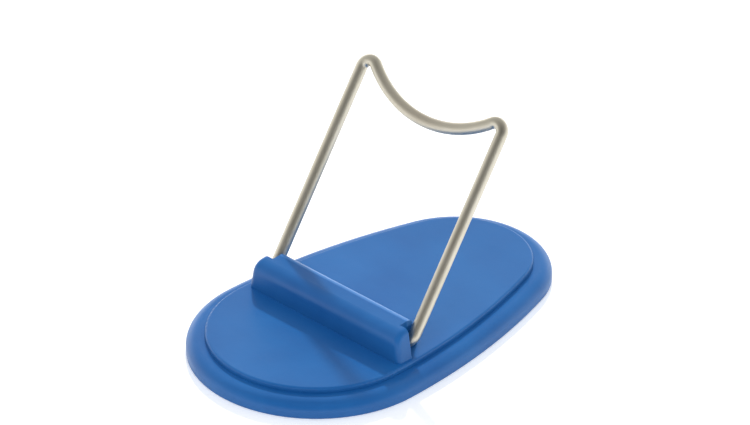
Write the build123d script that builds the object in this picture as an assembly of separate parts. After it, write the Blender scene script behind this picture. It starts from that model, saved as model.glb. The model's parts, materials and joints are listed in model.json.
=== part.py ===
from build123d import *
from math import atan2, cos, degrees, hypot, radians, sin
import os

# Soldering iron stand: a moulded oval base with a cross ridge, and a bent wire bracket that
# turns in the ridge. Millimetres. The origin is on the bench under the middle of the base.
# +X runs along the base to its narrow back end, +Y runs along the ridge, +Z is up.

# Base plate
base_length = 68.9
front_radius = 21.2        # round of the wide front end
back_radius = 15.8         # round of the narrow back end
side_radius = 116.0        # long arcs that join the two ends
flange_height = 3.0
flange_round = 1.9         # top outer edge
bottom_round = 0.3
plateau_inset = 3.1        # width of the flange's visible rim
plateau_rise = 1.0
plateau_round = 0.4

# Hollow underside
skirt_wall = 1.8
plate_wall = 1.5
rib_thickness = 1.2
rib_recess = 0.5           # ribs stop this far above the bench
cross_rib_places = [-22.0, 6.0, 18.0]

# Ridge across the plateau
ridge_front = -11.85       # X of its front foot
ridge_depth = 6.85
ridge_height = 5.2
ridge_half_length = 17.3   # at the foot
ridge_end_lean = 0.9
ridge_front_lean = 0.2
ridge_front_round = 2.2
ridge_back_lean = 1.3
ridge_top_slope = 0.2
ridge_back_round = 1.0
ridge_end_round = 1.0
lip_half_length = 14.55    # the ridge's back part ends here, inside the legs
slot_gap = 0.25            # between the wire and the end cheek in front of it
core_half_length = 6.0     # pocket moulded into the ridge from below
core_width = 3.0
core_wall = 1.2            # ridge left behind the pocket at its top

# Wire bracket
wire_diameter = 2.0
pivot_x = -7.65
pivot_height = 5.6
leg_offset = 15.8          # leg axis to the middle plane
lean_angle = 56.0          # legs above the horizontal at rest
apex_reach = 38.1          # pivot axis to the highest point of a top corner
dish_depth = 5.0           # top corners down to the middle of the rest
foot_bend = 1.6            # bend radii on the wire's centre line
corner_bend = 1.6
pin_end = 7.0              # the pins stop this far from the middle plane
pin_chamfer = 0.25
bore_clearance = 0.05      # round the pin, on the radius
bore_countersink = 0.35


def oval(inset):
    """Tapered oval made of four tangent arcs, with every arc moved inwards by inset."""
    x_front = front_radius - base_length / 2
    x_back = base_length / 2 - back_radius
    reach_front = side_radius - front_radius
    reach_back = side_radius - back_radius
    span = x_back - x_front
    along = (reach_front**2 - reach_back**2 + span**2) / (2 * span)
    x_side = x_front + along
    y_side = -((reach_front**2 - along**2) ** 0.5)
    front_turn = degrees(atan2(-y_side, x_front - x_side))
    back_turn = degrees(atan2(-y_side, x_back - x_side))
    side_sweep = front_turn - back_turn
    edges = [
        CenterArc((x_front, 0), front_radius - inset, front_turn, 360 - 2 * front_turn),
        CenterArc((x_side, -y_side), side_radius - inset, -front_turn, side_sweep),
        CenterArc((x_back, 0), back_radius - inset, -back_turn, 2 * back_turn),
        CenterArc((x_side, y_side), side_radius - inset, back_turn, side_sweep),
    ]
    return make_face(edges)


def slab(inset, bottom, top):
    return Pos(0, 0, bottom) * extrude(oval(inset), top - bottom)


def block(x_range, y_range, z_range):
    size = [high - low for low, high in (x_range, y_range, z_range)]
    return Pos(x_range[0], y_range[0], z_range[0]) * Box(*size, align=(Align.MIN,) * 3)


def edges_at(solid, z):
    return [e for e in solid.edges() if abs(e.bounding_box().min.Z - z) < 1e-4
            and abs(e.bounding_box().max.Z - z) < 1e-4]


def make_plate():
    """Flange and plateau with their rounded edges."""
    top = flange_height + plateau_rise
    flange = slab(0, 0, flange_height)
    flange = fillet(edges_at(flange, flange_height), flange_round)
    flange = fillet(edges_at(flange, 0), bottom_round)
    plateau = slab(plateau_inset, flange_height / 2, top)
    plateau = fillet(edges_at(plateau, top), plateau_round)
    return flange + plateau


def make_ridge(bottom):
    """Ridge with leaning front and ends, slotted behind its two end cheeks."""
    floor = flange_height + plateau_rise
    crest = floor + ridge_height
    back = ridge_front + ridge_depth
    sunk = (floor - bottom) / ridge_height
    profile = Polyline(
        (ridge_front - sunk * ridge_front_lean, bottom),
        (ridge_front + ridge_front_lean, crest - ridge_top_slope),
        (back - ridge_back_lean, crest),
        (back + sunk * ridge_back_lean, bottom),
        close=True,
    )
    foot = ridge_half_length + sunk * ridge_end_lean
    top = ridge_half_length - ridge_end_lean
    end_outline = Polyline((-foot, bottom), (-top, crest), (top, crest), (foot, bottom), close=True)
    ridge = extrude(Plane.XZ * make_face(profile), base_length / 2, both=True)
    ridge &= extrude(Plane.YZ * make_face(end_outline), base_length / 2, both=True)

    ridge = fillet(top_edge(ridge, ridge_front), ridge_front_round)
    ends = [face for face in ridge.faces() if abs(face.center().Y) > top]
    rims = [e for face in ends for e in face.edges()
            if e.bounding_box().max.Z > bottom + 0.01 and e.center().X < back - ridge_back_lean]
    ridge = fillet(rims, ridge_end_round)
    slot_front = pivot_x - wire_diameter / 2 - slot_gap
    for side in (-1, 1):
        y_range = sorted((side * lip_half_length, side * (ridge_half_length + 1)))
        ridge -= block((slot_front, back + 1), y_range, (floor, crest + 1))
    return fillet(top_edge(ridge, back - ridge_back_lean), ridge_back_round)


def top_edge(ridge, x):
    """The ridge's upper edge along Y that is nearest to x."""
    along_y = ridge.edges().filter_by(Axis.Y)
    high = [e for e in along_y if e.center().Z > flange_height + plateau_rise + ridge_height / 2]
    return min(high, key=lambda e: abs(e.center().X - x))


def make_base_plate():
    floor = flange_height + plateau_rise
    plate = make_plate()
    hollow = slab(skirt_wall, -1, flange_height - plate_wall)
    hollow += slab(plateau_inset + skirt_wall, -1, floor - plate_wall)
    ribs = block((-base_length / 2, base_length / 2), (-rib_thickness / 2, rib_thickness / 2),
                 (rib_recess, floor))
    for x in cross_rib_places:
        ribs += block((x - rib_thickness / 2, x + rib_thickness / 2),
                      (-front_radius, front_radius), (rib_recess, floor))
    base = plate - (hollow - ribs)
    base += make_ridge(floor - plate_wall)
    core_back = ridge_front + ridge_depth - ridge_back_lean - core_wall
    base -= block((core_back - core_width, core_back),
                  (-core_half_length, core_half_length), (-1, floor + ridge_height - plate_wall))
    return base - make_bores()


def make_bores():
    """The bore that the wire's pins turn in, countersunk where the wire bends out of it."""
    radius = wire_diameter / 2 + bore_clearance
    axis = Plane(origin=(pivot_x, 0, pivot_height), x_dir=(1, 0, 0), z_dir=(0, 1, 0))
    bores = axis * Cylinder(radius, 2 * lip_half_length)
    for side in (-1, 1):
        mouth = Cone(radius, radius + bore_countersink, bore_countersink,
                     align=(Align.CENTER, Align.CENTER, Align.MAX))
        turn = Rot(0, 0, 0) if side > 0 else Rot(180, 0, 0)
        bores += axis * Pos(0, 0, side * lip_half_length) * turn * mouth
    return bores


def make_wire_bracket():
    """Pins, legs and dished rest as one round wire, drawn flat and leaned back."""
    corner_y = leg_offset - corner_bend
    corner_z = apex_reach - corner_bend
    dish_z = apex_reach - dish_depth
    rise = corner_z - dish_z
    dish_radius = (corner_y**2 + rise**2 - corner_bend**2) / (2 * (rise + corner_bend))
    reach = hypot(corner_y, dish_z + dish_radius - corner_z)
    step = corner_bend / reach
    join_y = corner_y - corner_y * step
    join_z = corner_z + (dish_z + dish_radius - corner_z) * step
    apex_y = corner_y + corner_bend * sin(radians(10))
    apex_z = corner_z + corner_bend * cos(radians(10))
    diagonal = foot_bend * sin(radians(45))

    plane = Plane(origin=(pivot_x, 0, pivot_height), x_dir=(0, 1, 0),
                  z_dir=(sin(radians(lean_angle)), 0, -cos(radians(lean_angle))))

    def half(side):
        pin = Line((side * pin_end, 0), (side * (leg_offset - foot_bend), 0))
        bend = ThreePointArc(
            (side * (leg_offset - foot_bend), 0),
            (side * (leg_offset - foot_bend + diagonal), foot_bend - diagonal),
            (side * leg_offset, foot_bend),
        )
        leg = Line((side * leg_offset, foot_bend), (side * leg_offset, corner_z))
        corner = ThreePointArc((side * leg_offset, corner_z), (side * apex_y, apex_z),
                               (side * join_y, join_z))
        return [pin, bend, leg, corner]

    dish = ThreePointArc((-join_y, join_z), (0, dish_z), (join_y, join_z))
    path = Wire([plane * e for e in half(-1)] + [plane * dish] + [plane * e for e in half(1)])
    start = Plane(origin=path @ 0, z_dir=path % 0)
    wire = sweep(start * Circle(wire_diameter / 2), path)
    tips = [e for e in wire.edges().filter_by(GeomType.CIRCLE)
            if abs(abs(e.center().Y) - pin_end) < 1e-4]
    return chamfer(tips, pin_chamfer)


os.makedirs("parts", exist_ok=True)
export_step(make_base_plate(), "parts/base_plate.step")
export_step(make_wire_bracket(), "parts/wire_bracket.step")
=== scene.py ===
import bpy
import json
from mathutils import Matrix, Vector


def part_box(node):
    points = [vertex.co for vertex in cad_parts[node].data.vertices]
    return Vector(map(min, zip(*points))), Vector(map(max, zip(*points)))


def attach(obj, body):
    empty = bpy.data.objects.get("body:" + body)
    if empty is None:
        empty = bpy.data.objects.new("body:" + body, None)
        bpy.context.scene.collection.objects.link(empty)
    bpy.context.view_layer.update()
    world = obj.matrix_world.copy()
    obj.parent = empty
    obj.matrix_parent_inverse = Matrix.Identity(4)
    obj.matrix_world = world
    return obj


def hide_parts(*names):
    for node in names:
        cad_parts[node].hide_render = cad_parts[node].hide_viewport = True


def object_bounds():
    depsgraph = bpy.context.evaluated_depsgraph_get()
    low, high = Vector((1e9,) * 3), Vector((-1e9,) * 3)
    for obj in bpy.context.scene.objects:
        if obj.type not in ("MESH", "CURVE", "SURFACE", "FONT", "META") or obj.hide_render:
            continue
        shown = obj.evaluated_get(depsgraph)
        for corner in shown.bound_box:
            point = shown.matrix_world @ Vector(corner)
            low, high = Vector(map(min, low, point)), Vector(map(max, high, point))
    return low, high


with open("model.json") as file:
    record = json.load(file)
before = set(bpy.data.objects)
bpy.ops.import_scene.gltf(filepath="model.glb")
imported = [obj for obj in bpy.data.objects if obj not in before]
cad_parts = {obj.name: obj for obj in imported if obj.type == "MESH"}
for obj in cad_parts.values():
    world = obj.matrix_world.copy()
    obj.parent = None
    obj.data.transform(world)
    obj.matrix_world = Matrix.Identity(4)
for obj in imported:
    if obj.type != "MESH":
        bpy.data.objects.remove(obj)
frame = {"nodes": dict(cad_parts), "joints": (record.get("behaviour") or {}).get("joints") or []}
cad_box = [list(corner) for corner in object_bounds()]

import json
from math import atan2, ceil, cos, hypot, pi, radians, sin

import bpy
from mathutils import Matrix, Vector

# Soldering iron stand. Metres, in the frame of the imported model: the origin is on the bench under
# the middle of the base, +X is the base's narrow back end, +Y runs along the ridge and +Z is up.

mm = 0.001

# Camera
view_azimuth = radians(-45.0)
view_elevation = radians(30.9)
view_distance = 1.5
lens = 446.0
sensor_width = 36.0
aim_lift = 1.0 * mm        # the picture's middle above the middle of the object

# Light. Directions point from the object to the lamps.
key_direction = (1.02, 0.97, 1.0)
key_distance = 2.2
key_diameter = 0.115
key_watts = 37.5
key_colour = (1.0, 0.97, 0.93)
fill_direction = (-0.65, -0.6, 1.1)
fill_distance = 1.1
fill_diameter = 0.9
fill_watts = 7.0
fill_colour = (0.76, 0.85, 1.0)
floor_glow = 0.32          # a light table: the floor also shines a little by itself

# Wire bracket
wire_radius = 1.0 * mm
lean_angle = radians(56.0)
dish_depth = 5.0 * mm
foot_bend = 1.6 * mm       # bend radii on the wire's centre line
corner_bend = 1.6 * mm
pin_end = 7.0 * mm         # the pins stop this far from the middle plane
pin_chamfer = 0.25 * mm
wire_sides = 48
ring_spacing = 0.5 * mm    # between the wire's rings on its straight stretches
dish_step = radians(1.5)   # between its rings in the dish
bend_step = radians(6.0)   # and in the small bends
worn_reach = 13.0 * mm     # how far the iron has worn the wire, each way from the middle

# Painted highlight: a paler strip on the ridge's top, along its back edge
edge_place = -6.3 * mm     # X of the edge
edge_width = 1.2 * mm
edge_fade = 0.3 * mm

# Colours
deep_blue = (0.009, 0.108, 0.335, 1.0)
light_blue = (0.014, 0.134, 0.385, 1.0)
# paler blue of the painted highlight along the ridge's back edge
highlight_blue = (0.07, 0.23, 0.55, 1.0)
dull_wire = (0.61, 0.57, 0.46, 1.0)
bright_wire = (0.68, 0.64, 0.54, 1.0)
warm_wire = (0.64, 0.58, 0.47, 1.0)
floor_grey = (0.86, 0.86, 0.86, 1.0)
floor_white = (0.88, 0.88, 0.875, 1.0)
white = (1.0, 1.0, 1.0, 1.0)

floor_reach = 4.0          # from the origin to the floor's edges


def view_axes(azimuth, elevation):
    """Right, up and back directions of a camera that looks down at the given angles."""
    right = Vector((cos(azimuth), sin(azimuth), 0))
    back = Vector((sin(azimuth) * cos(elevation), -cos(azimuth) * cos(elevation), sin(elevation)))
    return right, back.cross(right), back


def place(name, data, location, axes):
    """Links a camera or light whose own X, Y and Z run along the three axes."""
    thing = bpy.data.objects.new(name, data)
    thing.matrix_world = Matrix.Translation(location) @ Matrix(axes).transposed().to_4x4()
    bpy.context.scene.collection.objects.link(thing)
    return thing


def add_camera():
    right, up, back = view_axes(view_azimuth, view_elevation)
    middle = (Vector(cad_box[0]) + Vector(cad_box[1])) / 2
    camera = bpy.data.cameras.new("camera")
    camera.lens = lens
    camera.sensor_width = sensor_width
    camera.clip_start = 0.01
    camera.clip_end = 20
    location = middle + up * aim_lift + back * view_distance
    bpy.context.scene.camera = place("camera", camera, location, (right, up, back))


# --- Materials -------------------------------------------------------------------------------


class Nodes:
    """Short way to write a material's node tree."""

    def __init__(self, tree):
        self.tree = tree

    def add(self, kind, inputs=(), **settings):
        node = self.tree.nodes.new("ShaderNode" + kind)
        for name, value in settings.items():
            setattr(node, name, value)
        for name, value in dict(inputs).items():
            if isinstance(value, bpy.types.NodeSocket):
                self.tree.links.new(value, node.inputs[name])
            else:
                node.inputs[name].default_value = value
        return node

    def noise(self, vector, scale, detail=2.0, roughness=0.5):
        inputs = {"Vector": vector, "Scale": scale, "Detail": detail, "Roughness": roughness}
        return self.add("TexNoise", inputs).outputs["Fac"]

    def remap(self, value, low, high, to_low, to_high):
        inputs = {"Value": value, "From Min": low, "From Max": high, "To Min": to_low,
                  "To Max": to_high}
        return self.add("MapRange", inputs).outputs["Result"]

    def stretch(self, vector, scale):
        return self.add("Mapping", {"Vector": vector, "Scale": scale}).outputs["Vector"]

    def math(self, operation, first, second):
        return self.add("Math", {0: first, 1: second}, operation=operation).outputs[0]

    def mix(self, amount, first, second):
        node = self.add("Mix", data_type="RGBA")
        for socket, value in (("Factor_Float", amount), ("A_Color", first), ("B_Color", second)):
            target = next(s for s in node.inputs if s.identifier == socket)
            if isinstance(value, bpy.types.NodeSocket):
                self.tree.links.new(value, target)
            else:
                target.default_value = value
        return next(s for s in node.outputs if s.identifier == "Result_Color")

    def bump(self, height, distance, strength=1.0, normal=None):
        inputs = {"Height": height, "Distance": distance, "Strength": strength}
        if normal is not None:
            inputs["Normal"] = normal
        return self.add("Bump", inputs).outputs["Normal"]


def new_material(name, **sockets):
    """A material with one Principled shader, whose own sockets are set by name."""
    material = bpy.data.materials.new(name)
    material.use_nodes = True
    shader = material.node_tree.nodes["Principled BSDF"]
    for socket, value in sockets.items():
        shader.inputs[socket.replace("_", " ")].default_value = value
    return material, Nodes(material.node_tree), shader


def connect(nodes, shader, **sockets):
    for name, value in sockets.items():
        nodes.tree.links.new(value, shader.inputs[name.replace("_", " ")])


def highlight_strip(nodes, spot):
    """1 on the strip of the ridge's top along its back edge, where the highlight is painted, 0
    elsewhere.
    """
    parts = nodes.add("SeparateXYZ", {"Vector": spot}).outputs
    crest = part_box("base_plate")[1][2]
    strip = edge_place - edge_width
    beside = nodes.remap(parts["X"], strip, strip + edge_fade, 0.0, 1.0)
    high = nodes.remap(parts["Z"], crest - edge_width, crest - edge_width + edge_fade, 0.0, 1.0)
    return nodes.math("MULTIPLY", beside, high)


def moulded_plastic():
    """Satin blue plastic: soft colour drift, a fine moulded texture, faint flow marks and a painted
    highlight, a paler strip along the ridge's back edge."""
    material, nodes, shader = new_material("moulded_plastic", IOR=1.49, Specular_IOR_Level=0.39)
    spot = nodes.add("TexCoord").outputs["Object"]
    drift = nodes.noise(spot, 90.0, detail=3.0)
    flow = nodes.noise(nodes.stretch(spot, (1.0, 0.35, 1.0)), 260.0, detail=2.0)
    grain = nodes.noise(spot, 3000.0, detail=2.0, roughness=0.6)
    ripple = nodes.noise(spot, 700.0, detail=2.0)

    blue = nodes.mix(nodes.remap(drift, 0.3, 0.7, 0.0, 1.0), deep_blue, light_blue)
    # painted highlight: the strip along the ridge's back edge is mixed towards a paler blue
    edge_highlight = nodes.math("MULTIPLY", highlight_strip(nodes, spot), nodes.remap(flow, 0.3, 0.7, 0.7, 1.0))
    colour = nodes.mix(edge_highlight, blue, highlight_blue)
    gloss = nodes.math("ADD", nodes.remap(drift, 0.3, 0.7, 0.36, 0.41),
                       nodes.remap(flow, 0.35, 0.65, -0.025, 0.025))
    waves = nodes.bump(ripple, 0.01 * mm)
    skin = nodes.bump(grain, 0.004 * mm, normal=waves)
    connect(nodes, shader, Base_Color=colour, Roughness=gloss, Normal=skin)
    return material


def drawn_wire():
    """Bright drawn wire: fine lines along its length, duller and warmer where the iron rests."""
    material, nodes, shader = new_material("drawn_wire", Metallic=1.0)
    unbent = nodes.add("Attribute", attribute_name="unbent").outputs["Vector"]
    worn = nodes.add("Attribute", attribute_name="rest").outputs["Fac"]
    lines = nodes.noise(nodes.stretch(unbent, (1.0, 1.0, 0.02)), 5000.0, detail=3.0, roughness=0.6)
    patches = nodes.noise(nodes.stretch(unbent, (1.0, 1.0, 0.3)), 500.0, detail=3.0)
    clean = nodes.mix(nodes.remap(patches, 0.3, 0.7, 0.0, 1.0), dull_wire, bright_wire)
    colour = nodes.mix(nodes.math("MULTIPLY", worn, 0.6), clean, warm_wire)
    gloss = nodes.math("ADD", nodes.remap(lines, 0.3, 0.7, 0.37, 0.47),
                       nodes.remap(worn, 0.0, 1.0, 0.0, 0.15))
    connect(nodes, shader, Base_Color=colour, Roughness=gloss,
            Normal=nodes.bump(lines, 0.004 * mm))
    return material


def pale_floor():
    """Near-white table that glows a little, with the faintest clouding."""
    material, nodes, shader = new_material("pale_floor", Roughness=0.7, Emission_Color=white,
                                           Emission_Strength=floor_glow)
    spot = nodes.add("TexCoord").outputs["Object"]
    cloud = nodes.noise(spot, 6.0, detail=2.0)
    connect(nodes, shader, Base_Color=nodes.mix(cloud, floor_grey, floor_white))
    return material


# --- Wire bracket ----------------------------------------------------------------------------


def arc(centre, radius, start, end, step):
    """Points of an arc in the bracket's own plane, without its first one."""
    count = max(2, ceil(abs(end - start) / step))
    turns = [start + (end - start) * i / count for i in range(1, count + 1)]
    return [(centre[0] + radius * cos(t), centre[1] + radius * sin(t)) for t in turns]


def straight(start, end):
    """Points of a straight stretch, without its first one."""
    count = max(1, ceil(hypot(end[0] - start[0], end[1] - start[1]) / ring_spacing))
    return [(start[0] + (end[0] - start[0]) * i / count, start[1] + (end[1] - start[1]) * i / count)
            for i in range(1, count + 1)]


def bracket_line(leg_offset, apex_reach):
    """Centre line from the middle of the dish down to one pin's end, in the bracket's plane.

    The first coordinate runs along Y and the second up the legs, from the turning axis.
    """
    corner = (leg_offset - corner_bend, apex_reach - corner_bend)
    dish_z = apex_reach - dish_depth
    rise = corner[1] - dish_z
    dish_radius = (corner[0]**2 + rise**2 - corner_bend**2) / (2 * (rise + corner_bend))
    dish_middle = (0.0, dish_z + dish_radius)
    join = atan2(corner[1] - dish_middle[1], corner[0])
    foot = (leg_offset - foot_bend, foot_bend)

    points = [(0.0, dish_z)]
    points += arc(dish_middle, dish_radius, -pi / 2, join, dish_step)
    points += arc(corner, corner_bend, join + pi, 0.0, bend_step)
    points += straight((leg_offset, corner[1]), (leg_offset, foot_bend))
    points += arc(foot, foot_bend, 0.0, -pi / 2, bend_step)
    points += straight((foot[0], 0.0), (pin_end, 0.0))
    return points


def make_wire():
    """The bracket's wire, swept as rings round its centre line."""
    high = Vector(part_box("wire_bracket")[1])
    pivot = Vector(frame["joints"][0]["pos_m"])
    leg_offset = high.y - wire_radius
    apex_reach = (high.z - wire_radius - pivot.z) / sin(lean_angle)
    half = bracket_line(leg_offset, apex_reach)
    flat = [(-y, z) for y, z in reversed(half)] + half[1:]

    up_legs = Vector((cos(lean_angle), 0, sin(lean_angle)))
    across = Vector((0, 1, 0))
    facing = up_legs.cross(across)
    line = [pivot + across * y + up_legs * z for y, z in flat]
    count = len(line)
    tangents = [(line[min(i + 1, count - 1)] - line[max(i - 1, 0)]).normalized()
                for i in range(count)]
    travel = [0.0]
    for before, after in zip(line, line[1:]):
        travel.append(travel[-1] + (after - before).length)
    middle = travel[-1] / 2

    vertices, unbent, rest = [], [], []
    for i in range(count):
        at_tip = i in (0, count - 1)
        radius = wire_radius - pin_chamfer if at_tip else wire_radius
        inward = facing.cross(tangents[i])
        for k in range(wire_sides):
            turn = 2 * pi * k / wire_sides
            offset = facing * cos(turn) + inward * sin(turn)
            vertices.append(line[i] + offset * radius)
            unbent.append((radius * cos(turn), radius * sin(turn), travel[i]))
            rest.append(max(0.0, 1.0 - abs(travel[i] - middle) / worn_reach))
    faces = []
    for i in range(count - 1):
        for k in range(wire_sides):
            after = (k + 1) % wire_sides
            faces.append((i * wire_sides + k, i * wire_sides + after,
                          (i + 1) * wire_sides + after, (i + 1) * wire_sides + k))
    last = (count - 1) * wire_sides
    faces.append(tuple(reversed(range(wire_sides))))
    faces.append(tuple(range(last, last + wire_sides)))

    mesh = bpy.data.meshes.new("bent_wire")
    mesh.from_pydata(vertices, [], faces)
    mesh.attributes.new("unbent", "FLOAT_VECTOR", "POINT").data.foreach_set(
        "vector", [value for point in unbent for value in point])
    mesh.attributes.new("rest", "FLOAT", "POINT").data.foreach_set("value", rest)
    mesh.shade_smooth()
    mesh.validate()
    wire = bpy.data.objects.new("bent_wire", mesh)
    bpy.context.scene.collection.objects.link(wire)
    mesh.materials.append(drawn_wire())
    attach(wire, "bracket")
    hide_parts("wire_bracket")


# --- Light and floor -------------------------------------------------------------------------


def add_lamp(name, direction, distance, diameter, watts, colour):
    """A round lamp that shines at the origin and isn't seen in reflections."""
    towards = Vector(direction).normalized()
    lamp = bpy.data.lights.new(name, "AREA")
    lamp.shape = "DISK"
    lamp.size = diameter
    lamp.energy = watts
    lamp.color = colour
    side = Vector((0, 0, 1)).cross(towards).normalized()
    seat = place(name, lamp, towards * distance, (side, towards.cross(side), towards))
    seat.visible_glossy = False


def add_light():
    """Key, fill and a world that is brightest low behind the object, dimmest beside the camera."""
    add_lamp("key", key_direction, key_distance, key_diameter, key_watts, key_colour)
    add_lamp("fill", fill_direction, fill_distance, fill_diameter, fill_watts, fill_colour)

    world = bpy.data.worlds.new("studio")
    world.use_nodes = True
    bpy.context.scene.world = world
    nodes = Nodes(world.node_tree)
    direction = nodes.add("TexCoord").outputs["Generated"]
    facing = nodes.add("VectorMath", {0: direction, 1: view_axes(view_azimuth, view_elevation)[2]},
                       operation="DOT_PRODUCT").outputs["Value"]
    height = nodes.add("SeparateXYZ", {"Vector": direction}).outputs["Z"]
    front = nodes.remap(facing, 0.15, 0.85, 1.0, 0.25)
    horizon = nodes.remap(height, 0.05, 0.40, 1.35, 0.62)
    behind = nodes.remap(facing, -0.9, -0.5, 2.2, 0.0)
    low = nodes.remap(height, 0.10, 0.40, 1.0, 0.0)
    level = nodes.math("ADD", nodes.math("MULTIPLY", front, horizon),
                       nodes.math("MULTIPLY", behind, low))
    background = world.node_tree.nodes["Background"]
    background.inputs["Color"].default_value = white
    world.node_tree.links.new(level, background.inputs["Strength"])


def add_floor():
    reach = floor_reach
    corners = [(-reach, -reach, 0), (reach, -reach, 0), (reach, reach, 0), (-reach, reach, 0)]
    mesh = bpy.data.meshes.new("floor")
    mesh.from_pydata(corners, [], [(0, 1, 2, 3)])
    mesh.materials.append(pale_floor())
    floor = bpy.data.objects.new("floor", mesh)
    bpy.context.scene.collection.objects.link(floor)


def dress_node(name, material):
    """Puts a material on a CAD node that is seen as it is."""
    piece = frame["nodes"][name]
    if not piece.data.materials:
        piece.data.materials.append(material)
    for slot in piece.material_slots:
        slot.material = material


add_camera()
add_light()
add_floor()
dress_node("base_plate", moulded_plastic())
make_wire()
bpy.context.scene.view_settings.view_transform = "Standard"
